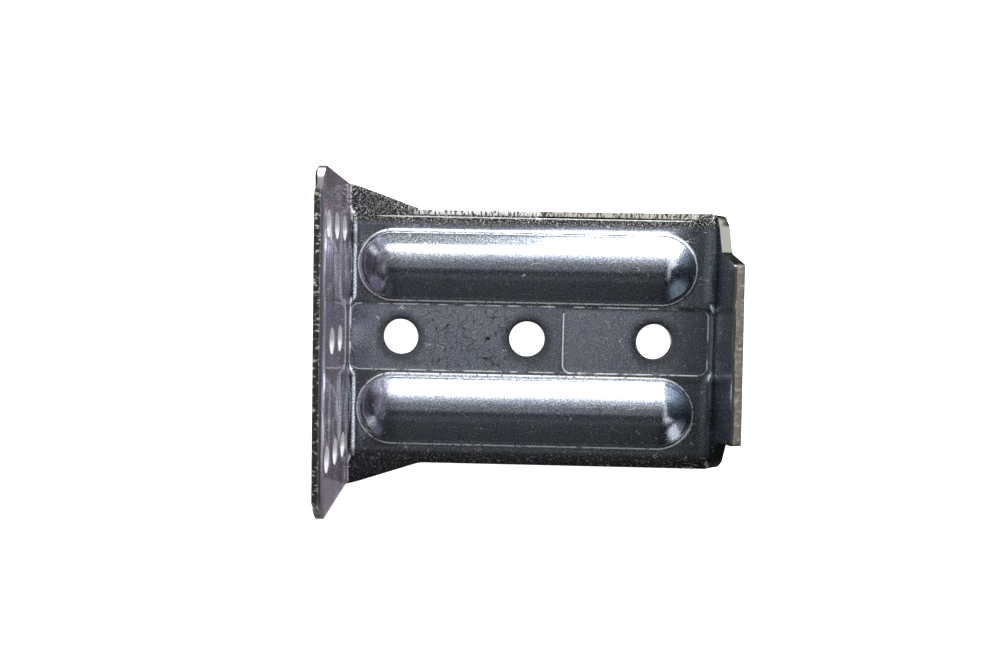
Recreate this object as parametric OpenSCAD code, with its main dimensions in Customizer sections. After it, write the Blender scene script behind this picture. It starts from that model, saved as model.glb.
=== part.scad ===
// Roof bracket: one pressed steel sheet, bent up at both ends into a U-shaped channel.
// Origin: middle of the web's underside. +X runs along the web to the narrow flange, +Z is up.

/* [Sheet] */

// thickness of the steel sheet
sheet_t = 2; // [1:0.1:4]
// radius on the inside of both bends
bend_r = 2.2; // [0.5:0.1:4]

/* [Web] */

// distance between the inner faces of the two flanges
inner_span = 72; // [40:1:160]
// width of the straight part of the web
web_w = 50; // [30:1:100]
// distance from the wide flange's inner face at which the web starts to widen
flare_l = 14.5; // [5:0.5:30]

/* [Wide flange] */

// height of the wide flange above the web's underside
wide_h = 26.5; // [15:0.5:60]
// width of the wide flange at the bend
wide_base_w = 59.6; // [40:0.2:120]
// width of the wide flange at its top
wide_top_w = 62.8; // [40:0.2:120]
// radius of its two top corners
wide_corner_r = 2.5; // [0.5:0.1:8]

/* [Narrow flange] */

// height of the narrow flange above the web's underside
narrow_h = 20.5; // [12:0.5:60]
// width of the narrow flange where its shoulders end
narrow_base_w = 36.0; // [20:0.2:80]
// width of the narrow flange at its top
narrow_top_w = 32.6; // [20:0.2:80]
// height at which the sloping shoulders start
shoulder_start_h = 1.4; // [0:0.1:4]
// height at which the sloping shoulders end
shoulder_end_h = 8.2; // [4:0.1:20]
// radius of its two top corners
narrow_corner_r = 0.8; // [0.2:0.1:4]

/* [Ribs] */

// length of each rib, round ends included
rib_l = 66.2; // [30:1:140]
// width of each rib at the web's upper face
rib_w = 13.2; // [6:0.1:30]
// height of each rib above the web's upper face
rib_h = 2.8; // [1:0.1:8]
// distance between the two ribs' centre lines
rib_spacing = 28.4; // [15:0.5:60]
// shift of the ribs' middle along the web, towards the wide flange
rib_shift = 0.85; // [0:0.05:5]

/* [Holes] */

// diameter of the bolt holes along the web
bolt_d = 7; // [4:0.1:14]
// distance from one bolt hole to the next
bolt_pitch = 25; // [10:0.5:60]
// shift of the middle bolt hole along the web, towards the wide flange
bolt_shift = 0.6; // [0:0.1:5]
// diameter of the nail holes in the wide flange
nail_d = 5; // [3:0.1:8]
// distance from one nail hole to the next in a column
nail_pitch = 8; // [6:0.5:20]
// distance of the outer nail columns from the middle column
nail_column = 21; // [10:0.5:50]
// height of the middle of the nail pattern
nail_mid_h = 14.3; // [8:0.1:40]

/* [Hidden] */

zinc = [0.62, 0.64, 0.68];

half_in = inner_span / 2;
half_out = half_in + sheet_t;
flat_half = half_in - bend_r;
over_h = max(wide_h, narrow_h) + 5;
over_w = max(wide_top_w, wide_base_w, web_w) + 10;

// a rib is this arc across, and its inner wall is concentric with it
rib_r = (pow(rib_w / 2, 2) + pow(rib_h, 2)) / (2 * rib_h);
rib_axis_z = sheet_t + rib_h - rib_r;

arc_fn = 72;
hole_fn = 64;
rib_fn = 96;

module mirrored(v) {
    children();
    mirror(v)
        children();
}

// the outline of a channel's floor: half its width and the radius of its lower corners
module floor_outline(half, r) {
    mirrored([1, 0])
        translate([half - r, r])
            circle(r, $fn = arc_fn);
    translate([-(half - r), 0])
        square([2 * (half - r), over_h]);
    translate([-half, r])
        square([2 * half, over_h]);
}

// the sheet bent into a channel, with both flanges too wide and too tall
module bent_sheet() {
    rotate([90, 0, 0])
        linear_extrude(over_w, center = true)
            difference() {
                floor_outline(half_out, bend_r + sheet_t);
                translate([0, sheet_t])
                    floor_outline(half_in, bend_r);
            }
}

// seen from above: the straight web and its flare towards the wide flange
module web_outline() {
    mirrored([0, 1])
        polygon([
            [-flat_half, 0],
            [flat_half, 0],
            [flat_half, web_w / 2],
            [flare_l - half_in, web_w / 2],
            [-flat_half, wide_base_w / 2]
        ]);
}

// seen along the web: the wide flange opens slightly towards its rounded top corners
module wide_outline() {
    offset(r = wide_corner_r, $fn = arc_fn)
        offset(delta = -wide_corner_r)
            mirrored([1, 0])
                polygon([
                    [0, -over_h],
                    [wide_base_w / 2, -over_h],
                    [wide_base_w / 2, 0],
                    [wide_top_w / 2, wide_h],
                    [0, wide_h]
                ]);
}

// seen along the web: the narrow flange rises from two sloping shoulders and tapers
module narrow_outline() {
    offset(r = narrow_corner_r, $fn = arc_fn)
        offset(delta = -narrow_corner_r)
            mirrored([1, 0])
                polygon([
                    [0, -over_h],
                    [web_w / 2, -over_h],
                    [web_w / 2, shoulder_start_h],
                    [narrow_base_w / 2, shoulder_end_h],
                    [narrow_top_w / 2, narrow_h],
                    [0, narrow_h]
                ]);
}

// all that is kept of the bent sheet: the web, then each bend with its flange
module trimmed_zone() {
    translate([0, 0, -1])
        linear_extrude(over_h)
            web_outline();
    translate([-half_out - 1, 0, 0])
        rotate([90, 0, 90])
            linear_extrude(half_out + 1 - flat_half)
                wide_outline();
    translate([flat_half, 0, 0])
        rotate([90, 0, 90])
            linear_extrude(half_out + 1 - flat_half)
                narrow_outline();
}

// a long body with round ends, whose upper part is a rib's outer or inner wall
module rib_form(r) {
    half_l = (rib_l - rib_w) / 2;
    mirrored([0, 1, 0])
        translate([-rib_shift, rib_spacing / 2, rib_axis_z]) {
            rotate([0, 90, 0])
                cylinder(h = 2 * half_l, r = r, center = true, $fn = rib_fn);
            for (side = [-1, 1])
                translate([side * half_l, 0, 0])
                    sphere(r, $fn = rib_fn);
        }
}

// the raised outer walls of both ribs, standing on the sheet
module rib_walls() {
    intersection() {
        rib_form(rib_r);
        translate([-half_in, -web_w / 2, 0])
            cube([inner_span, web_w, sheet_t + rib_h + 1]);
    }
}

// three bolt holes in a line along the middle of the web
module bolt_holes() {
    for (i = [-1, 0, 1])
        translate([i * bolt_pitch - bolt_shift, 0, -1])
            cylinder(h = sheet_t + 2, d = bolt_d, $fn = hole_fn);
}

// nail holes in the wide flange: outer columns of three, and two in between
module nail_holes() {
    for (column = [-1, 0, 1])
        for (row = column == 0 ? [-0.5, 0.5] : [-1, 0, 1])
            translate([-half_out - 1, column * nail_column, nail_mid_h + row * nail_pitch])
                rotate([0, 90, 0])
                    cylinder(h = sheet_t + 2, d = nail_d, $fn = hole_fn);
}

module pressed_bracket() {
    color(zinc)
        difference() {
            union() {
                intersection() {
                    bent_sheet();
                    trimmed_zone();
                }
                rib_walls();
            }
            rib_form(rib_r - sheet_t);
            bolt_holes();
            nail_holes();
        }
}

pressed_bracket();
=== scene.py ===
"""A pressed roof bracket: the sheet is laid out flat, cut, embossed and bent in mesh code."""
import math
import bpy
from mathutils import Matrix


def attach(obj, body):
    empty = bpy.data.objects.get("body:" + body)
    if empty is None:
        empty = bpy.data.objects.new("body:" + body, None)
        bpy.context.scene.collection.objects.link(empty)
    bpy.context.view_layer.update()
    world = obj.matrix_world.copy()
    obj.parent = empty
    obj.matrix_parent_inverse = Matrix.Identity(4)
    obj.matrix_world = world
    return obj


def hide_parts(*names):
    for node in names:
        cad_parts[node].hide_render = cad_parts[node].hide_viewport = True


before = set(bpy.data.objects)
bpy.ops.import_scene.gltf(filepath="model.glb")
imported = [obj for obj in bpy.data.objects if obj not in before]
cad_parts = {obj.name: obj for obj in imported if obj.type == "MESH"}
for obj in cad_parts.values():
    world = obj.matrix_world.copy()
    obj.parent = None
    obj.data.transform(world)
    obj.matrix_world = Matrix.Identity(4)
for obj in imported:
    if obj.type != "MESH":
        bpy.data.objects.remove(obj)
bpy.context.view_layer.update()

from types import SimpleNamespace

import bpy
import numpy as np
from mathutils import Matrix, Vector
from mathutils.geometry import delaunay_2d_cdt
from mathutils.kdtree import KDTree

MM = 0.001

# ---- driving dimensions, in millimetres ----

SHEET_T = 2.0
HALF_IN = 36.0
BEND_R = 2.2
FLAT_HALF = HALF_IN - BEND_R
BEND_L = BEND_R * math.pi / 2
BEND_END = FLAT_HALF + BEND_L
WIDE_H = 26.5
NARROW_H = 20.5

WEB_HALF_W = 25.0
FLARE_START = -21.5
# half widths of the flanges on the +Y side and on the -Y side, which the press left a little unequal
WIDE_BASE = (29.9, 29.6)
WIDE_TOP = (30.9, 31.35)
WIDE_CORNER_R = (1.4, 1.8)
# the +Y corner is also cut back: by this much along the top and this much down the side
CORNER_CUT, CORNER_DROP = 2.0, 0.8
# the web ends a little wider on its +Y side
WEB_END_HALF_W = (WEB_HALF_W + 0.25, WEB_HALF_W)
NARROW_BASE = (17.4, 18.5)
NARROW_TOP = (15.2, 17.3)
NARROW_LEAN = 0.45
SHOULDER_START = FLAT_HALF + 1.7
SHOULDER_END_H = 8.2

# a rib's section: a crown arc, a straight flank, and past a crease a concave foot
RIB_MIDDLE = -0.85
RIB_Y = 14.2
RIB_HALF_RUN = 26.2
CROWN_R = 8.0
FOOT_R = 2.4
CREASE = 6.3
FLANK_SLOPE = math.radians(32)
CROWN_EDGE = CROWN_R * math.sin(FLANK_SLOPE)
FOOT_EDGE = CREASE + FOOT_R * math.sin(FLANK_SLOPE)
FOOT_H = FOOT_R * (1 - math.cos(FLANK_SLOPE))
FLANK_H = FOOT_H + (CREASE - CROWN_EDGE) * math.tan(FLANK_SLOPE)
RIB_H = FLANK_H + CROWN_R * (1 - math.cos(FLANK_SLOPE))

BOLT_R = 3.5
BOLT_PITCH = 25.0
BOLT_MIDDLE = -0.6
NAIL_R = 2.5
NAIL_PITCH = 8.0
NAIL_COLUMN = 21.0
NAIL_MID_H = 14.3

# a struck pad runs along the bolt holes from bend to bend, where both bends are sharper
PAD_HALF_W = 6.5
PAD_DEPTH = 0.03
PAD_STEP_X = 6.5
PAD_LEFT = -35.2
PAD_RIGHT = 34.7
PAD_RIM_R = 1.6
# radii of two painted lines round each rib: a light one in its foot, a painted highlight, and a dark one by its
# crease, painted shade
FOOT_LINE_R = 7.0
CREASE_LINE_R = 6.5
# the bends are sharp on the pad and in the wide flange's outer corners, and soft in front of the ribs
SHARP_R = 0.5
CORNER_Y = 24.6
# a fainter line is struck beside one long edge of the web, and that edge is torn down past its middle
LINE_Y = 23.9
LINE_DEPTH = 0.025
TORN_START = 1.0
TORN_SLOPE = math.tan(math.radians(24))
DROOP = 0.3

GRID = 0.62
EDGE_STEP = 0.32
WALL_ROWS = 9


# ---- the flat sheet ----

def flange_u(height):
    """How far along the flat sheet a point of a flange lies, from its height above the web's underside."""
    return BEND_END + height - SHEET_T - BEND_R


def rounded_path(corners, step=EDGE_STEP):
    """A closed outline through corners (x, y, radius), anticlockwise, as evenly spaced points."""
    run = []
    count = len(corners)
    for i, (x, y, radius) in enumerate(corners):
        here = Vector((x, y))
        back = (Vector(corners[i - 1][:2]) - here).normalized()
        on = (Vector(corners[(i + 1) % count][:2]) - here).normalized()
        half = back.angle(on) / 2
        reach = radius / math.tan(half)
        centre = here + (back + on).normalized() * radius / math.sin(half)
        start, end = here + back * reach - centre, here + on * reach - centre
        turn = math.atan2(start.cross(end), start.dot(end))
        pieces = max(2, round(abs(turn) * radius / step * 1.6))
        for k in range(pieces + 1):
            run.append(centre + Matrix.Rotation(turn * k / pieces, 2) @ start)
    path = []
    for here, there in zip(run, run[1:] + run[:1]):
        gap = (there - here).length
        pieces = max(1, math.ceil(gap / step))
        path += [here.lerp(there, k / pieces) for k in range(pieces)]
    return np.array([tuple(p) for p in path])


def outline():
    """The blank's outline: wide flange at low u, narrow flange with its shoulders at high u."""
    wide_top, narrow_top = -flange_u(WIDE_H - 0.02), flange_u(NARROW_H)
    sides = []
    for which, sign in ((0, 1), (1, -1)):
        sides.append([
            (narrow_top, sign * NARROW_TOP[which], 0.6),
            (flange_u(SHOULDER_END_H), sign * NARROW_BASE[which], 0.9),
            (SHOULDER_START, sign * WEB_END_HALF_W[which], 2.0),
            (FLARE_START, sign * WEB_HALF_W, 6.0),
            (-FLAT_HALF - 1.6, sign * WIDE_BASE[which], 1.2),
            (wide_top + (CORNER_DROP if which == 0 else 0), sign * WIDE_TOP[which], WIDE_CORNER_R[which]),
        ])
    sides[0].append((wide_top, WIDE_TOP[0] - CORNER_CUT, 2.0))
    return rounded_path(sides[0] + sides[1][::-1])


def circle(u, v, radius):
    count = round(2 * math.pi * radius / EDGE_STEP)
    angles = np.arange(count) * 2 * math.pi / count
    return np.stack([u + radius * np.cos(angles), v - radius * np.sin(angles)], axis=1)


def hole_loops():
    loops = [circle(BOLT_MIDDLE + i * BOLT_PITCH, 0, BOLT_R) for i in (-1, 0, 1)]
    for column in (-1, 0, 1):
        for row in ((-0.5, 0.5) if column == 0 else (-1, 0, 1)):
            height = NAIL_MID_H + row * NAIL_PITCH
            loops.append(circle(-flange_u(height), column * NAIL_COLUMN, NAIL_R))
    return loops


def inward(loop):
    """Unit normals of a loop that point into the sheet, which lies on the loop's left."""
    along = np.roll(loop, -1, axis=0) - np.roll(loop, 1, axis=0)
    along /= np.linalg.norm(along, axis=1)[:, None]
    return np.stack([-along[:, 1], along[:, 0]], axis=1)


def inside(points, loop):
    """Which points lie within a closed loop, by counting crossings."""
    result = np.zeros(len(points), bool)
    x, y = points[:, 0], points[:, 1]
    for (x0, y0), (x1, y1) in zip(loop, np.roll(loop, -1, axis=0)):
        if y0 == y1:
            continue
        crosses = (y0 > y) != (y1 > y)
        result ^= crosses & (x < x0 + (y - y0) * (x1 - x0) / (y1 - y0))
    return result


def in_sheet(points, loops):
    keep = inside(points, loops[0])
    for loop in loops[1:]:
        keep &= ~inside(points, loop)
    return keep


def tree_of(points):
    tree = KDTree(len(points))
    for i, (x, y) in enumerate(points):
        tree.insert((x, y, 0), i)
    tree.balance()
    return tree


def distances(points, tree):
    return np.array([tree.find((x, y, 0))[2] for x, y in points])


def rib_distance(u, v):
    """Distance from the nearer rib's centre run."""
    along = np.maximum(np.abs(u - RIB_MIDDLE) - RIB_HALF_RUN, 0)
    return np.hypot(along, np.abs(v) - RIB_Y)


def rib_ring(radius, step, side):
    """Points all round one rib's centre run at this distance."""
    if radius == 0:
        count = round(2 * RIB_HALF_RUN / step)
        u = np.linspace(-RIB_HALF_RUN, RIB_HALF_RUN, count + 1) + RIB_MIDDLE
        return np.stack([u, np.full(count + 1, side * RIB_Y)], axis=1)
    whole = 4 * RIB_HALF_RUN + 2 * math.pi * radius
    s = np.arange(0, whole, whole / round(whole / step))
    run, turn = 2 * RIB_HALF_RUN, math.pi * radius
    u = np.empty(len(s))
    v = np.empty(len(s))
    for i, at in enumerate(s):
        end = 1 if at < run + turn else -1
        at = at if end == 1 else at - run - turn
        if at < run:
            u[i], v[i] = end * (at - RIB_HALF_RUN), -end * radius
        else:
            angle = (at - run) / radius - math.pi / 2
            u[i] = end * (RIB_HALF_RUN + radius * math.cos(angle))
            v[i] = end * radius * math.sin(angle)
    return np.stack([u + RIB_MIDDLE, v + side * RIB_Y], axis=1)


def row_points(u_values, v_values):
    u, v = np.meshgrid(u_values, v_values)
    return np.stack([u.ravel(), v.ravel()], axis=1)


def layout(loops):
    """Every point of the flat sheet: edges first, then finer points at the bends, then a plain grid."""
    sets = []
    edge_tree = tree_of(np.concatenate(loops))

    def add(points, clear, near_edge):
        points = points[in_sheet(points, loops)]
        points = points[distances(points, edge_tree) > near_edge]
        if sets:
            points = points[distances(points, tree_of(np.concatenate(sets))) > clear]
        sets.append(points)

    for depth in (0.14, 0.3, 0.52):
        for loop in loops:
            add(loop + inward(loop) * depth, depth * 0.8 if depth > 0.2 else 0.1, depth * 0.96)
    for side in (-1, 1):
        for radius in CREASE + np.arange(-2, 3) * 0.07:
            add(rib_ring(radius, 0.42, side), 0.06, 0.6)
        for radius in np.arange(CREASE + 0.35, FOOT_EDGE + 0.3, 0.26):
            add(rib_ring(radius, 0.5, side), 0.15, 0.6)
        for radius in np.arange(0, CREASE - 0.3, 0.42):
            add(rib_ring(radius, 0.55, side), 0.2, 0.6)
    bend = np.concatenate([
        np.linspace(FLAT_HALF - 0.3, BEND_END + 0.3, 15),
        -np.linspace(FLAT_HALF - 0.3, BEND_END + 0.3, 15),
    ])
    add(row_points(bend, np.arange(-30.3, 30.4, 0.45)), 0.12, 0.6)
    steps = np.concatenate([side * (PAD_HALF_W + np.linspace(-0.16, 0.16, 3)) for side in (-1, 1)])
    add(row_points(np.arange(-FLAT_HALF, FLAT_HALF, 0.45), steps), 0.15, 0.6)
    line = LINE_Y + np.arange(-2, 3) * 0.09
    add(row_points(np.arange(-33, 33, 0.4), line), 0.08, 0.6)
    add(row_points(PAD_STEP_X + np.linspace(-0.16, 0.16, 3), np.arange(-6.6, 6.7, 0.45)), 0.15, 0.6)
    add(row_points(np.arange(-62, 57, GRID), np.arange(-31, 31.1, GRID)), GRID * 0.62, 0.75)
    return np.concatenate(sets)


# ---- from flat to pressed and bent ----

def smooth_step(x):
    x = np.clip(x, 0, 1)
    return x * x * (3 - 2 * x)


def rib_height(distance):
    """A rib's section by the distance from its centre run."""
    crown = RIB_H - CROWN_R + np.sqrt(np.maximum(CROWN_R ** 2 - distance ** 2, 0))
    flank = FOOT_H + (CREASE - distance) * math.tan(FLANK_SLOPE)
    foot = FOOT_R - np.sqrt(np.maximum(FOOT_R ** 2 - (FOOT_EDGE - distance) ** 2, 0))
    low = np.where(distance < CREASE, flank, np.where(distance < FOOT_EDGE, foot, 0))
    return np.where(distance < CROWN_EDGE, crown, low)


def waves(u, v, seed):
    """A few long low waves, between -1 and 1, for sheet that is never quite flat."""
    total = np.zeros_like(u)
    for k in range(5):
        angle = seed * 1.7 + k * 2.4
        length = 9.0 + 7.0 * ((seed * 0.37 + k * 0.618) % 1)
        total += np.sin((u * math.cos(angle) + v * math.sin(angle)) * 2 * math.pi / length + seed + k)
    return total / 5


def step_up(distance, width=0.2):
    """From 0 to 1 across a step of this width, centred on distance 0."""
    return smooth_step(distance / width + 0.5)


def relief(u, v):
    """Height of the whole sheet above its nominal place; nowhere less than zero."""
    return rib_height(rib_distance(u, v)) + 0.014 * (1 + waves(u, v, 1.0))


def groove(distance, width):
    return np.exp(-(distance / width) ** 2)


def carved(u, v):
    """Depth of the tool marks in the upper face: the pad, a struck line, creases and rolled edges."""
    on_pad = step_up(PAD_HALF_W - np.abs(v)) * smooth_step((BEND_END + 1.2 - np.abs(u)) / 2)
    depth = PAD_DEPTH * on_pad * (1 + step_up(u - PAD_STEP_X))
    on_line = step_up(31 - np.abs(u), 2)
    torn = step_up(u - TORN_START, 0.6) * step_up(FLAT_HALF - 1.5 - u, 2)
    depth = depth + LINE_DEPTH * groove(v - LINE_Y, 0.1) * on_line * (1 + 7 * torn)
    depth = depth + torn * np.maximum(v - LINE_Y - 0.1, 0) * TORN_SLOPE
    droop = smooth_step((u + 14) / 28) * step_up(FLAT_HALF - 5 - u, 6)
    depth = depth + DROOP * droop * (1 - np.exp(-np.maximum(v - RIB_Y - FOOT_EDGE + 0.6, 0) / 0.9))
    depth = depth + 0.3 * np.clip(1 - (u + flange_u(WIDE_H)) / 0.8, 0, 1) ** 2
    return depth + 0.07 * groove(rib_distance(u, v) - CREASE, 0.09)


def smooth_edge(u, v):
    """1 where the cut edge stays smooth: the wide flange's outer corners, the other's shoulders."""
    top = flange_u(WIDE_H)
    away = np.minimum(np.hypot(u + top, v - WIDE_TOP[0]), np.hypot(u + top, v + WIDE_TOP[1]) + 1.5)
    on_shoulder = step_up(u - FLAT_HALF, 2) * step_up(flange_u(NARROW_H) - 0.9 - u, 0.8)
    return np.maximum(smooth_step((5.0 - away) / 2.0), on_shoulder)


def base_surface(u, v):
    """The bent channel's upper face without its relief: points, unit normals and unit tangents along u."""
    side = np.where(u < 0, -1.0, 1.0)
    far = np.abs(u)
    soft = step_up(np.abs(v) - PAD_HALF_W - 0.2, 2.6) * step_up(CORNER_Y - np.abs(v), 2.6)
    radius = SHARP_R + (BEND_R - SHARP_R) * soft
    straight = BEND_R - radius
    arc = radius * math.pi / 2
    path = np.clip((far - FLAT_HALF) / BEND_L, 0, 1) * (2 * straight + arc)
    angle = np.clip((path - straight) / radius, 0, math.pi / 2)
    x = np.minimum(far, FLAT_HALF) + np.minimum(path, straight) + radius * np.sin(angle)
    z = SHEET_T + radius * (1 - np.cos(angle)) + np.maximum(path - straight - arc, 0)
    z = z + np.maximum(far - BEND_END, 0)
    twist = np.where(u > 0, np.maximum(far - BEND_END, 0) / NARROW_H * np.clip((v + 17) / 32, 0, 1), 0)
    x = x - NARROW_LEAN * twist
    zero = np.zeros_like(u)
    point = np.stack([side * x, v, z], axis=1)
    normal = np.stack([-side * np.sin(angle), zero, np.cos(angle)], axis=1)
    tangent = np.stack([np.cos(angle), zero, side * np.sin(angle)], axis=1)
    return point, normal, tangent


def pressed(uv, depth):
    """Where flat points go once the sheet is pressed and bent, at this depth below its upper face."""
    u, v = uv[:, 0], uv[:, 1]
    point, normal, tangent = base_surface(u, v)
    height = relief(u, v)
    tiny = 0.02
    slope_u = (relief(u + tiny, v) - relief(u - tiny, v)) / (2 * tiny)
    slope_v = (relief(u, v + tiny) - relief(u, v - tiny)) / (2 * tiny)
    across = np.array([0.0, 1.0, 0.0])
    lean = normal - slope_u[:, None] * tangent - slope_v[:, None] * across
    lean /= np.linalg.norm(lean, axis=1)[:, None]
    return point + normal * height[:, None] - lean * np.asarray(depth)[..., None]


# ---- the piece ----

def ragged(count, rng, smooth):
    """Noise round a closed loop, between -1 and 1, averaged over neighbours."""
    noise = rng.uniform(-1, 1, count)
    kernel = np.ones(smooth) / smooth
    wide = np.concatenate([noise[-smooth:], noise, noise[:smooth]])
    return np.convolve(wide, kernel, mode="same")[smooth:-smooth] * math.sqrt(smooth) * 0.8


def wall_rows(loop, rng):
    """Rows of a sheared edge between the faces: a smooth land, then a torn zone that steps back."""
    normal = inward(loop)
    tear = 0.32 + 0.08 * ragged(len(loop), rng, 5) + smooth_edge(loop[:, 0], loop[:, 1])
    rows = []
    for k in range(1, WALL_ROWS):
        at = k / WALL_ROWS
        torn = np.clip((at - tear) / 0.16, 0, 1)
        inset = torn * (0.1 + 0.055 * ragged(len(loop), rng, 2))
        rows.append((loop + normal * np.maximum(inset, 0)[:, None], at))
    return rows


def build_bracket():
    rng = np.random.default_rng(7)
    loops = [outline()] + hole_loops()
    flat = layout(loops)
    edge_points = np.concatenate(loops)
    points = np.concatenate([edge_points, flat])
    edges = []
    first = 0
    for loop in loops:
        count = len(loop)
        edges += [(first + i, first + (i + 1) % count) for i in range(count)]
        first += count
    result = delaunay_2d_cdt([Vector(p) for p in points], edges, [], 0, 1e-7)
    flat = np.array([tuple(p) for p in result[0]])
    moved = np.zeros(len(points), int)
    for new, olds in enumerate(result[3]):
        for old in olds:
            moved[old] = new
    faces = np.array(result[2])
    middles = flat[faces].mean(axis=1)
    faces = faces[in_sheet(middles, loops)]
    spread = distances(flat, tree_of(edge_points))

    roll = np.clip(1 - spread / 0.5, 0, 1) ** 2
    marks = 0.05 * roll + carved(flat[:, 0], flat[:, 1])
    top = pressed(flat, marks)
    corner = smooth_edge(flat[:, 0], flat[:, 1])
    base = SHEET_T - 0.03 * roll - 0.6 * corner * (flat[:, 0] < 0) * np.clip(1 - spread / 1.1, 0, 1) ** 1.5
    bottom = pressed(flat, base)
    count = len(flat)
    verts = [top, bottom]
    sheet_uv = [flat, flat]
    through = [np.zeros(count), np.ones(count)]
    corners_at = [corner, corner]
    in_hole = [np.zeros(2 * count)]
    tris = [faces, faces[:, ::-1] + count]
    quads = []
    total = 2 * count
    first = 0
    for number, loop in enumerate(loops):
        size = len(loop)
        ring = moved[first:first + size]
        first += size
        rows = [ring]
        for place, at in wall_rows(loop, rng):
            verts.append(pressed(place, at * base[ring] + (1 - at) * marks[ring]))
            sheet_uv.append(loop)
            through.append(np.full(size, at))
            corners_at.append(corner[ring])
            in_hole.append(np.full(size, float(number > 0)))
            rows.append(total + np.arange(size))
            total += size
        rows.append(ring + count)
        for upper, lower in zip(rows, rows[1:]):
            quads.append(np.stack([upper, lower, np.roll(lower, -1), np.roll(upper, -1)], axis=1))

    verts = np.concatenate(verts) * MM
    tris = np.concatenate(tris)
    quads = np.concatenate(quads)
    mesh = bpy.data.meshes.new("bracket_sheet")
    mesh.from_pydata(verts.tolist(), [], tris.tolist() + quads.tolist())
    uv = np.concatenate(sheet_uv) / 100
    corners = np.zeros(len(mesh.loops), np.int32)
    mesh.loops.foreach_get("vertex_index", corners)
    mesh.uv_layers.new(name="sheet").data.foreach_set("uv", uv[corners].ravel())
    for name, values in (("through", through), ("corner", corners_at), ("in_hole", in_hole)):
        mesh.attributes.new(name, "FLOAT", "POINT").data.foreach_set("value", np.concatenate(values))
    slots = np.concatenate([np.zeros(len(tris), np.int32), np.ones(len(quads), np.int32)])
    mesh.polygons.foreach_set("material_index", slots)
    mesh.validate()
    mesh.shade_smooth()
    mesh.set_sharp_from_angle(angle=math.radians(38))
    piece = bpy.data.objects.new("bracket_sheet", mesh)
    bpy.context.collection.objects.link(piece)
    return piece


# ---- materials ----

def material(name, colour, roughness, metallic=1.0):
    mat = bpy.data.materials.new(name)
    mat.use_nodes = True
    shader = mat.node_tree.nodes["Principled BSDF"]
    shader.inputs["Base Color"].default_value = (*colour, 1)
    shader.inputs["Roughness"].default_value = roughness
    shader.inputs["Metallic"].default_value = metallic
    return mat


def maths(owner, operation, *inputs):
    """One Math node in a material's or world's tree; inputs are sockets or numbers."""
    tree = owner.node_tree
    node = tree.nodes.new("ShaderNodeMath")
    node.operation = operation
    for socket, value in zip(node.inputs, inputs):
        if isinstance(value, bpy.types.NodeSocket):
            tree.links.new(value, socket)
        else:
            socket.default_value = value
    return node.outputs[0]


def ramp(owner, value, low, high, to_low=0.0, to_high=1.0):
    """Smoothly from to_low to to_high as the value goes from low to high."""
    node = owner.node_tree.nodes.new("ShaderNodeMapRange")
    node.interpolation_type = "SMOOTHSTEP"
    for name, number in (("From Min", low), ("From Max", high), ("To Min", to_low), ("To Max", to_high)):
        node.inputs[name].default_value = number
    owner.node_tree.links.new(value, node.inputs["Value"])
    return node.outputs[0]


def mixed(owner, factor, first, second, blend="MIX"):
    """Two colours mixed; each is a socket or an (r, g, b)."""
    node = owner.node_tree.nodes.new("ShaderNodeMix")
    node.data_type = "RGBA"
    node.blend_type = blend
    for socket, value in ((node.inputs[0], factor), (node.inputs[6], first), (node.inputs[7], second)):
        if isinstance(value, bpy.types.NodeSocket):
            owner.node_tree.links.new(value, socket)
        elif isinstance(value, tuple):
            socket.default_value = (*value, 1)
        else:
            socket.default_value = value
    return node.outputs[2]


def flat_place(mat):
    """The flat sheet's own coordinates in millimetres, so that marks follow the metal round its bends."""
    nodes = mat.node_tree.nodes
    uv = nodes.new("ShaderNodeUVMap")
    uv.uv_map = "sheet"
    scale = nodes.new("ShaderNodeVectorMath")
    scale.operation = "SCALE"
    scale.inputs["Scale"].default_value = 100
    mat.node_tree.links.new(uv.outputs[0], scale.inputs[0])
    split = nodes.new("ShaderNodeSeparateXYZ")
    mat.node_tree.links.new(scale.outputs[0], split.inputs[0])
    return scale.outputs[0], split.outputs["X"], split.outputs["Y"]


def noise(mat, place, per_mm, detail=3.0, rough=0.6, stretch=None, turn=0.0, distort=0.0):
    """Noise with this many features to a millimetre, squeezed along each axis after a turn in degrees."""
    nodes, links = mat.node_tree.nodes, mat.node_tree.links
    if stretch:
        mapping = nodes.new("ShaderNodeMapping")
        mapping.inputs["Rotation"].default_value[2] = math.radians(turn)
        mapping.inputs["Scale"].default_value = (*stretch, 1)
        links.new(place, mapping.inputs[0])
        place = mapping.outputs[0]
    node = nodes.new("ShaderNodeTexNoise")
    node.inputs["Scale"].default_value = per_mm
    node.inputs["Detail"].default_value = detail
    node.inputs["Roughness"].default_value = rough
    node.inputs["Distortion"].default_value = distort
    links.new(place, node.inputs["Vector"])
    return node.outputs["Fac"]


def hairlines(mat, place, per_mm, width, mask_seed, cover=0.5, **options):
    """Thin broken lines where a noise crosses its middle, kept only in patches."""
    line = noise(mat, place, per_mm, **options)
    off = maths(mat, "ABSOLUTE", maths(mat, "SUBTRACT", line, 0.5))
    line = ramp(mat, off, 0.0, width, 1.0, 0.0)
    patches = noise(mat, place, per_mm * 1.7, detail=2.0, stretch=(1, 1), turn=mask_seed)
    return maths(mat, "MULTIPLY", line, ramp(mat, patches, cover, cover + 0.08))


def round_rim(mat, along, across, middle, half_l, half_w, radius, width):
    """A thin line round a rounded rectangle centred on the sheet's middle line."""
    over = maths(mat, "MAXIMUM", maths(mat, "SUBTRACT", maths(mat, "ABSOLUTE", across), half_w - radius), 0.0)
    past = maths(mat, "ABSOLUTE", maths(mat, "SUBTRACT", along, middle))
    past = maths(mat, "MAXIMUM", maths(mat, "SUBTRACT", past, half_l - radius), 0.0)
    reach = maths(mat, "SQRT", maths(mat, "ADD", times(mat, over, over), times(mat, past, past)))
    off = maths(mat, "ABSOLUTE", maths(mat, "SUBTRACT", reach, radius))
    return ramp(mat, off, width, width * 0.4)


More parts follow.
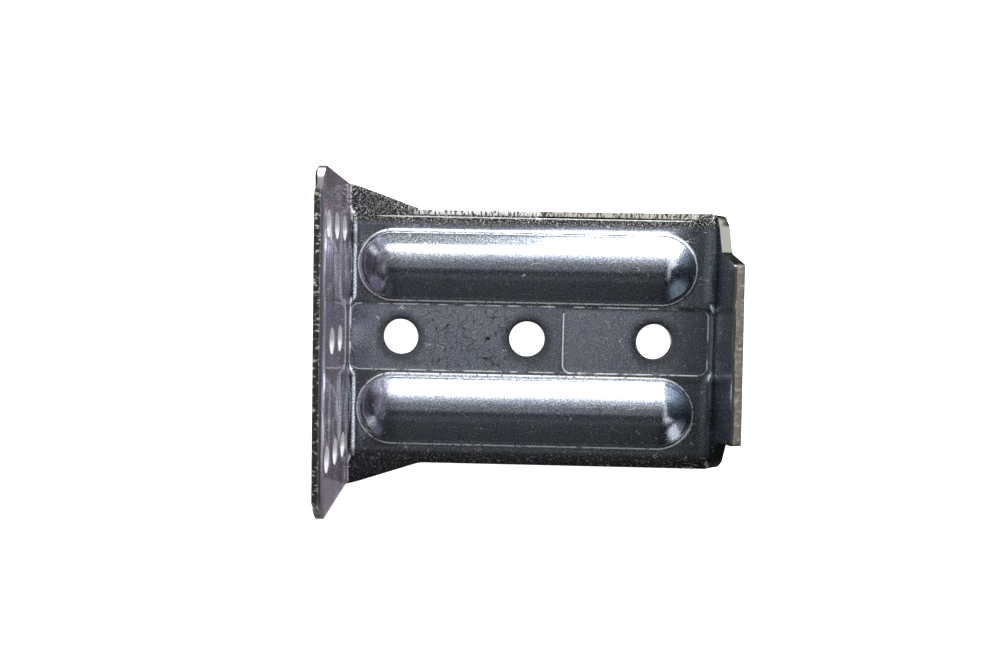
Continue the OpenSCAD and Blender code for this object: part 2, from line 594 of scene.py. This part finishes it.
def attribute(mat, name):
    node = mat.node_tree.nodes.new("ShaderNodeAttribute")
    node.attribute_name = name
    return node.outputs["Fac"]


def bumped(mat, height, depth):
    """Bump from a height in parts of this depth, in millimetres."""
    bump = mat.node_tree.nodes.new("ShaderNodeBump")
    bump.inputs["Strength"].default_value = 1.0
    bump.inputs["Distance"].default_value = depth * MM
    mat.node_tree.links.new(height, bump.inputs["Height"])
    mat.node_tree.links.new(bump.outputs[0], mat.node_tree.nodes["Principled BSDF"].inputs["Normal"])


def times(owner, *values):
    """The product of several sockets and numbers."""
    product = values[0]
    for value in values[1:]:
        product = maths(owner, "MULTIPLY", product, value)
    return product


def most(owner, *values):
    """The largest of several sockets and numbers."""
    largest = values[0]
    for value in values[1:]:
        largest = maths(owner, "MAXIMUM", largest, value)
    return largest


def band(owner, value, middle, outer, inner, top=1.0):
    """Top where the value is within inner of the middle, fading to 0 at outer."""
    off = maths(owner, "ABSOLUTE", maths(owner, "SUBTRACT", value, middle))
    return ramp(owner, off, outer, inner, 0.0, top)


def sheet_fields(mat):
    """The places and noises that the zinc's layers share."""
    on = SimpleNamespace()
    on.place, on.along, on.across = flat_place(mat)
    on.side = maths(mat, "ABSOLUTE", on.across)
    on.from_rib = maths(mat, "SUBTRACT", on.side, RIB_Y)
    on.grain = noise(mat, on.place, 3.0, detail=4.0, rough=0.7)
    on.specks = ramp(mat, noise(mat, on.place, 3.6, detail=2.0, rough=0.8), 0.60, 0.70)
    on.soft = noise(mat, on.place, 0.5, detail=4.0)
    on.broad = noise(mat, on.place, 0.11, detail=2.0)
    on.patchy = ramp(mat, noise(mat, on.place, 0.35, detail=3.0), 0.38, 0.55)
    on.upper = maths(mat, "SUBTRACT", 1.0, attribute(mat, "through"))
    # the wide flange's inner face keeps its polish, a little further out between the pad and the margins
    on.off_pad = times(mat, ramp(mat, on.side, 7.0, 8.5), ramp(mat, on.side, 24.0, 22.0))
    reach = maths(mat, "ADD", on.along, times(mat, on.off_pad, 0.6))
    on.polish = times(mat, ramp(mat, reach, -35.3, -35.8), on.upper)
    on.web = maths(mat, "SUBTRACT", 1.0, on.polish)
    return on


def light_marks(mat, on):
    """Hair scratches, the two halves of the pad's rim, the struck line, and a painted highlight: a light line
    in the ribs' feet.
    """
    fine_lines = hairlines(mat, on.place, 0.40, 0.006, 20, cover=0.57, detail=1.0)
    long_lines = hairlines(mat, on.place, 0.22, 0.005, 55, cover=0.56, stretch=(0.5, 2.2), turn=8, detail=1.0)
    left_rim = round_rim(mat, on.along, on.across, (PAD_LEFT + PAD_STEP_X) / 2, (PAD_STEP_X - PAD_LEFT) / 2,
                         PAD_HALF_W, PAD_RIM_R, 0.16)
    left_rim = times(mat, left_rim, ramp(mat, on.along, 5.0, 4.6))
    right_rim = round_rim(mat, on.along, on.across, (PAD_RIGHT + PAD_STEP_X) / 2, (PAD_RIGHT - PAD_STEP_X) / 2,
                          PAD_HALF_W, PAD_RIM_R, 0.17)
    worn_corner = times(mat, ramp(mat, on.along, 8.6, 8.5), ramp(mat, on.across, 5.2, 5.4))
    right_rim = times(mat, right_rim, ramp(mat, worn_corner, 0, 1, 1, 0))
    step_line = times(mat, right_rim, ramp(mat, on.along, 9, 8))
    struck = times(mat, band(mat, on.across, LINE_Y - 0.2, 0.14, 0.05), band(mat, on.along, 0, 31, 29))
    # painted highlight: the light line in each rib's concave foot stands in for the softbox mirrored there
    foot = round_rim(mat, on.along, on.from_rib, RIB_MIDDLE, RIB_HALF_RUN + FOOT_LINE_R,
                     FOOT_LINE_R, FOOT_LINE_R, 0.19)
    foot = times(mat, foot, ramp(mat, noise(mat, on.place, 1.4, detail=2.0), 0.34, 0.46))
    rims = times(mat, most(mat, left_rim, right_rim), on.patchy)
    return times(mat, most(mat, fine_lines, long_lines, rims, step_line, struck, foot), on.web, on.upper)


def dark_marks(mat, on):
    """Cracks in the oxide between the bolt holes; painted shade in the +Y rib's crease; the torn edge's gap;
    painted shade in a bend's inner corner.
    """
    cracks = hairlines(mat, on.place, 0.24, 0.010, 80, cover=0.36, detail=1.2)
    more = hairlines(mat, on.place, 0.33, 0.012, 140, cover=0.42, detail=1.6, stretch=(1.3, 0.8), turn=50)
    cracks = times(mat, most(mat, cracks, more), ramp(mat, on.side, 7.2, 5.0), band(mat, on.along, -13, 13, 7))
    # painted shade: a dark line by the crease on the +Y rib's far side
    crease = round_rim(mat, on.along, on.from_rib, RIB_MIDDLE, RIB_HALF_RUN + CREASE_LINE_R,
                       CREASE_LINE_R, CREASE_LINE_R, 0.15)
    crease = times(mat, crease, ramp(mat, on.across, 15, 17), ramp(mat, on.patchy, 0.0, 1.0, 0.5, 1.0))
    gap = band(mat, on.across, LINE_Y + 0.1, 0.24, 0.14)
    gap = times(mat, gap, ramp(mat, on.along, 0.8, 1.3), ramp(mat, on.along, 33, 10, 0.3, 1.0))
    # painted shade: a dark line in the inner corner of the wide flange's sharp bend on the pad
    corner_line = times(mat, band(mat, on.along, -35.55, 0.22, 0.1), ramp(mat, on.side, 6.6, 6.0))
    return times(mat, most(mat, cracks, crease, gap, corner_line), on.upper)


def bright_rubs(mat, on, margin):
    """Sparkle in the margins, squiggles along the bend, and slanting rubs beside the struck line."""
    sparkle = ramp(mat, noise(mat, on.place, 3.4, detail=2.0, rough=0.7, distort=1.0), 0.57, 0.63)
    squiggle = ramp(mat, noise(mat, on.place, 1.6, detail=2.0, distort=2.0), 0.50, 0.54)
    squiggle = times(mat, squiggle, band(mat, on.along, -35.6, 0.45, 0.25))
    sparkle = times(mat, most(mat, sparkle, squiggle), margin, ramp(mat, on.across, -25, 24, 0.35, 1.0))
    rubs = hairlines(mat, on.place, 0.9, 0.03, 30, cover=0.5, detail=2.0, stretch=(2.4, 0.5), turn=-25)
    rubs = times(mat, rubs, ramp(mat, on.across, 21.0, 23.0), band(mat, on.along, -12, 16, 11))
    return most(mat, sparkle, rubs)


def hole_halo(mat, on):
    """A dark ragged ring round each bolt hole."""
    past = maths(mat, "ADD", on.along, BOLT_PITCH * 2.5 - BOLT_MIDDLE)
    past = maths(mat, "SUBTRACT", BOLT_PITCH / 2, maths(mat, "PINGPONG", past, BOLT_PITCH / 2))
    away = maths(mat, "SQRT", maths(mat, "ADD", times(mat, past, past), times(mat, on.side, on.side)))
    away = maths(mat, "SUBTRACT", away, times(mat, on.soft, 2.2))
    return times(mat, on.upper, ramp(mat, away, 4.8, 2.8), band(mat, on.along, 0, 31, 30))


def blackened(mat, on, margin):
    """Thin blotches everywhere, rubbed margins and the holes' halos."""
    blotches = ramp(mat, noise(mat, on.place, 0.9, detail=5.0, rough=0.7), 0.50, 0.62)
    blotches = times(mat, blotches, ramp(mat, on.soft, 0.45, 0.6))
    return most(mat, times(mat, blotches, 0.35), times(mat, margin, 0.85), times(mat, hole_halo(mat, on), 0.6))


def painted_shade(mat, on):
    """Painted shade, as darker metal: the ribs' ends by the wide flange, the +Y rib's far crease, the -Y rib's
    inner foot.
    """
    rib_end = times(mat, band(mat, on.from_rib, 0, 8.2, 7.4), ramp(mat, on.along, -34.6, -34.0),
                    ramp(mat, on.along, -24, -29, 0.0, 0.65))
    far_crease = times(mat, band(mat, on.across, 19.3, 1.5, 0.8), ramp(mat, on.along, 9, -3, 0.0, 0.6))
    inner_foot = band(mat, on.across, -7.4, 1.0, 0.6, top=0.5)
    return times(mat, most(mat, rib_end, far_crease, inner_foot), on.upper)


def web_colour(mat, on, light, dark, bright, hatched, margin):
    """The zinc's colour everywhere but on the polished flange, with painted shade and painted highlights in it.
    """
    colour = mixed(mat, ramp(mat, on.broad, 0.35, 0.65), (0.62, 0.68, 0.82), (0.66, 0.71, 0.80))
    by_step = times(mat, ramp(mat, on.along, -2, 0), ramp(mat, on.along, 6.6, 6.4),
                    ramp(mat, on.side, 7.5, 6.5))
    colour = mixed(mat, times(mat, by_step, 0.3), colour, (0.20, 0.22, 0.26))
    # painted shade at the ribs' ends, the +Y rib's far crease and the -Y rib's inner foot
    colour = mixed(mat, painted_shade(mat, on), colour, (0.15, 0.17, 0.155))
    # painted shade: the web darkens towards the narrow flange's bend
    colour = mixed(mat, ramp(mat, on.along, 26, 33, 0.0, 0.6), colour, (0.12, 0.16, 0.17))
    dark_grain = times(mat, ramp(mat, on.grain, 0.56, 0.45), ramp(mat, on.polish, 0.0, 1.0, 0.9, 0.25))
    colour = mixed(mat, dark_grain, colour, mixed(mat, 1.0, colour, (0.46, 0.47, 0.49), "MULTIPLY"))
    soot = mixed(mat, ramp(mat, on.across, -15, 15), (0.03, 0.03, 0.03), (0.07, 0.07, 0.065))
    colour = mixed(mat, blackened(mat, on, margin), colour, soot)
    colour = mixed(mat, times(mat, bright, on.upper), colour, (0.95, 0.94, 0.90))

    # outside the struck line the die hatched the edge; its strokes are painted pale, a painted highlight, where
    # the edge lies flat, and darker where it is torn down and faces the softbox
    hatch = noise(mat, on.place, 1.3, detail=2.0, stretch=(1.7, 0.5), turn=-25, distort=0.3)
    torn_away = ramp(mat, on.along, 0.6, 1.6)
    stroke_gap = mixed(mat, torn_away, (0.08, 0.075, 0.07), (0.03, 0.028, 0.025))
    stroke = mixed(mat, torn_away, (0.95, 0.94, 0.92), (0.25, 0.24, 0.21))
    colour = mixed(mat, hatched, colour, mixed(mat, ramp(mat, hatch, 0.42, 0.50), stroke_gap, stroke))
    colour = mixed(mat, times(mat, light, 0.85), colour, (0.97, 0.97, 0.97))
    return mixed(mat, dark, colour, (0.03, 0.028, 0.025))


def oily_film(mat, on):
    """Drawn streaks along the wide flange under a thin film of colour, with pale streaks in front of the ribs
    painted as their reflection.
    """
    drawn = noise(mat, on.place, 1.0, detail=3.0, rough=0.6, stretch=(0.38, 0.09), distort=0.5)
    film = mixed(mat, ramp(mat, on.soft, 0.40, 0.60), (0.50, 0.36, 0.48), (0.36, 0.36, 0.40))
    film = mixed(mat, ramp(mat, on.broad, 0.4, 0.6), film, (0.40, 0.33, 0.50))
    film = mixed(mat, ramp(mat, drawn, 0.34, 0.60), (0.26, 0.24, 0.27), film)
    # painted reflection: pale streaks on the flange in front of the ribs stand in for the ribs' highlights
    # mirrored in it
    return mixed(mat, times(mat, on.off_pad, ramp(mat, drawn, 0.48, 0.64)), film, (0.82, 0.76, 0.86))


def zinc_sheet():
    """Zinc plating: fine grain, scratches, rubbed black margins, and an oily film on the wide flange, with
    painted shade, painted highlights and a painted reflection of the ribs in its colour.
    """
    mat = material("zinc_sheet", (0.6, 0.61, 0.65), 0.24)
    links, shader = mat.node_tree.links, mat.node_tree.nodes["Principled BSDF"]
    on = sheet_fields(mat)
    light, dark = light_marks(mat, on), dark_marks(mat, on)
    margin = times(mat, ramp(mat, on.side, 21.5, 23.2), on.upper)
    bright = bright_rubs(mat, on, margin)
    hatched = times(mat, ramp(mat, on.across, 24.0, 24.2), band(mat, on.along, 4, 29, 26), on.upper)

    colour = web_colour(mat, on, light, dark, bright, hatched, margin)
    links.new(mixed(mat, on.polish, colour, oily_film(mat, on)), shader.inputs["Base Color"])
    links.new(ramp(mat, on.polish, 0.0, 1.0, 1.0, 0.68), shader.inputs["Metallic"])

    rough = ramp(mat, on.grain, 0.3, 0.7, 0.12, 0.22)
    rough = maths(mat, "ADD", rough, times(mat, most(mat, light, on.specks), 0.35))
    rough = maths(mat, "ADD", rough, times(mat, most(mat, bright, hatched), 0.35))
    rough = maths(mat, "SUBTRACT", rough, times(mat, on.polish, 0.08))
    links.new(rough, shader.inputs["Roughness"])

    height = maths(mat, "SUBTRACT", on.grain, times(mat, light, 0.5))
    height = times(mat, height, maths(mat, "MULTIPLY_ADD", on.web, 0.85, 0.15))
    bumped(mat, maths(mat, "ADD", height, times(mat, on.soft, 0.8)), 0.014)
    return mat


def sheared_edge():
    """The cut edge: a smooth dark land by the upper face, then a torn zone with bright broken crystals."""
    mat = material("sheared_edge", (0.2, 0.2, 0.2), 0.4)
    links, shader = mat.node_tree.links, mat.node_tree.nodes["Principled BSDF"]
    place, along, across = flat_place(mat)
    depth = attribute(mat, "through")
    corner, in_hole = attribute(mat, "corner"), attribute(mat, "in_hole")
    smooth = maths(mat, "MAXIMUM", corner, in_hole)
    join = mat.node_tree.nodes.new("ShaderNodeCombineXYZ")
    for socket, value in zip(join.inputs, (along, across, maths(mat, "MULTIPLY", depth, 0.9))):
        links.new(value, socket)
    streaks = noise(mat, join.outputs[0], 2.6, detail=3.0, rough=0.7)
    dots = ramp(mat, noise(mat, join.outputs[0], 1.6, detail=2.0), 0.52, 0.62)
    torn = ramp(mat, maths(mat, "ADD", depth, maths(mat, "MULTIPLY", streaks, 0.3)), 0.42, 0.52)
    torn = maths(mat, "MULTIPLY", torn, maths(mat, "SUBTRACT", 1.0, smooth))
    pale = ramp(mat, along, 0.0, 6.0)
    land = mixed(mat, pale, (0.27, 0.30, 0.33), (0.24, 0.24, 0.20))
    # painted highlight: the smooth edge at the wide flange's outer corners is painted pale where its rounding
    # catches the softbox; on the narrow flange's shoulders it is darker
    land = mixed(mat, corner, land, mixed(mat, pale, (0.90, 0.89, 0.86), (0.11, 0.115, 0.10)))
    # painted reflection: in the wide flange the nail holes' walls are pale and nearly non-metallic, so the
    # floor lights them as bright streaks that stand in for the zinc walls mirroring the floor
    nail_wall = maths(mat, "MULTIPLY", in_hole, ramp(mat, along, -35.0, -36.0))
    land = mixed(mat, in_hole, land, mixed(mat, nail_wall, (0.50, 0.50, 0.53), (0.66, 0.65, 0.68)))
    links.new(ramp(mat, nail_wall, 0.0, 1.0, 1.0, 0.1), shader.inputs["Metallic"])
    dark = mixed(mat, pale, (0.05, 0.05, 0.045), (0.24, 0.21, 0.19))
    crystals = mixed(mat, pale, (0.55, 0.55, 0.50), (0.44, 0.41, 0.38))
    rough_zone = mixed(mat, maths(mat, "MULTIPLY", dots, ramp(mat, streaks, 0.4, 0.55)), dark, crystals)
    links.new(mixed(mat, torn, land, rough_zone), shader.inputs["Base Color"])
    links.new(ramp(mat, torn, 0.0, 1.0, 0.26, 0.6), shader.inputs["Roughness"])
    bumped(mat, maths(mat, "MULTIPLY", streaks, torn), 0.12)
    return mat


def floor():
    bpy.ops.mesh.primitive_plane_add(size=3)
    plane = bpy.context.object
    plane.name = "floor"
    plane.location.z = -0.0001
    mat = material("pale_floor", (0.9, 0.9, 0.9), 0.8, 0.0)
    shader = mat.node_tree.nodes["Principled BSDF"]
    shader.inputs["Emission Color"].default_value = (1, 1, 1, 1)
    shader.inputs["Emission Strength"].default_value = 1.0
    plane.data.materials.append(mat)
    # a metal face mirrors the dark studio below the horizon, not the floor
    plane.visible_glossy = False


def backdrop():
    """A plain pale surround that only the camera sees, for low angles."""
    bpy.ops.mesh.primitive_uv_sphere_add(segments=64, ring_count=32, radius=1.4)
    dome = bpy.context.object
    dome.name = "backdrop"
    mat = material("pale_backdrop", (0, 0, 0), 1.0, 0.0)
    shader = mat.node_tree.nodes["Principled BSDF"]
    shader.inputs["Specular IOR Level"].default_value = 0.0
    shader.inputs["Emission Color"].default_value = (0.9, 0.9, 0.91, 1)
    shader.inputs["Emission Strength"].default_value = 1.0
    dome.data.materials.append(mat)
    dome.visible_glossy = dome.visible_diffuse = dome.visible_shadow = dome.visible_transmission = False


# ---- camera and light ----

def add_camera():
    data = bpy.data.cameras.new("camera")
    data.lens = 36
    data.sensor_width = 36
    data.clip_start = 0.01
    camera = bpy.data.objects.new("camera", data)
    bpy.context.collection.objects.link(camera)
    camera.location = Vector((-2.23, 12.33, 198.8)) * MM
    camera.rotation_euler = (-0.057, 0.02, 0.02)
    bpy.context.scene.camera = camera


def lamp_glow(world, place, direction, outer, inner):
    """A soft round lamp in this direction; outer and inner are cosines of its angular radii."""
    dot = world.node_tree.nodes.new("ShaderNodeVectorMath")
    dot.operation = "DOT_PRODUCT"
    world.node_tree.links.new(place.outputs["Generated"], dot.inputs[0])
    dot.inputs[1].default_value = Vector(direction).normalized()
    return ramp(world, dot.outputs["Value"], outer, inner, 0.0, 0.6)


def studio_world():
    """A dark studio with one long softbox: brightness by the angle from straight up, towards +Y."""
    world = bpy.data.worlds.new("studio")
    bpy.context.scene.world = world
    world.use_nodes = True
    nodes, links = world.node_tree.nodes, world.node_tree.links
    place = nodes.new("ShaderNodeTexCoord")
    split = nodes.new("ShaderNodeSeparateXYZ")
    links.new(place.outputs["Generated"], split.inputs[0])
    side = split.outputs["X"]
    angle = maths(world, "ARCTAN2", split.outputs["Y"], split.outputs["Z"])
    turn = maths(world, "MULTIPLY_ADD", angle, 0.5 / math.pi, 0.5)
    degrees = maths(world, "DEGREES", angle)
    glow = nodes.new("ShaderNodeValToRGB")
    glow.color_ramp.interpolation = "LINEAR"
    stops = [(-180, 0.2), (-120, 0.12), (-95, 0.02), (-60, 0.03), (-42, 0.03), (-31, 0.055), (-22, 0.03),
             (-14, 0.025), (-10, 0.008), (-7, 0.09), (-4, 0.16), (-1, 0.12), (3, 0.10), (6, 0.12), (12, 0.15),
             (19, 0.22), (26, 0.36), (33, 0.6), (39, 1.0), (95, 1.0), (120, 0.2), (180, 0.2)]
    marks = glow.color_ramp.elements
    while len(marks) < len(stops):
        marks.new(0.5)
    for mark, (at, level) in zip(marks, stops):
        mark.position = 0.5 + at / 360
        mark.color = (level, level, level, 1)
    links.new(turn, glow.inputs[0])

    # the softbox's far edge slants, and the dark gap above the object deepens to one side
    slant = maths(world, "MULTIPLY_ADD", maths(world, "MAXIMUM", side, -0.05), -90.0, degrees)
    level = times(world, glow.outputs[0], ramp(world, slant, 60, 69, 1.0, 0.11),
                  ramp(world, degrees, 38, 47, 1.0, 2.2), ramp(world, degrees, 95, 100, 1.0, 0.45))
    dim = times(world, ramp(world, side, 0.12, 0.17), ramp(world, degrees, 14, 6))
    level = times(world, level, ramp(world, dim, 0.0, 1.0, 1.0, 0.3),
                  ramp(world, side, 0.85, 0.62, 0.08, 1.0), ramp(world, side, -1.0, -0.4, 0.4, 1.0))

    # faint glows low on both sides, then the two lamps
    near = times(world, ramp(world, degrees, -14, -4), ramp(world, degrees, 40, 20),
                 ramp(world, side, -0.3, -0.6, 0.0, 0.05))
    beyond = times(world, ramp(world, side, 0.34, 0.46), ramp(world, side, 0.9, 0.7),
                   band(world, degrees, 0, 40, 20), 0.5)
    for glow_level in (near, beyond, lamp_glow(world, place, (0.74, -0.63, 0.2), 0.94, 0.975),
                       lamp_glow(world, place, (-0.74, -0.64, 0.21), 0.92, 0.97)):
        level = maths(world, "ADD", level, glow_level)
    back = nodes["Background"]
    links.new(level, back.inputs["Color"])
    back.inputs["Strength"].default_value = 2.4


add_camera()
studio_world()
floor()
backdrop()
bracket = build_bracket()
bracket.data.materials.append(zinc_sheet())
bracket.data.materials.append(sheared_edge())
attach(bracket, "root")
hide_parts("pressed_bracket")
bpy.context.scene.view_settings.view_transform = "Standard"
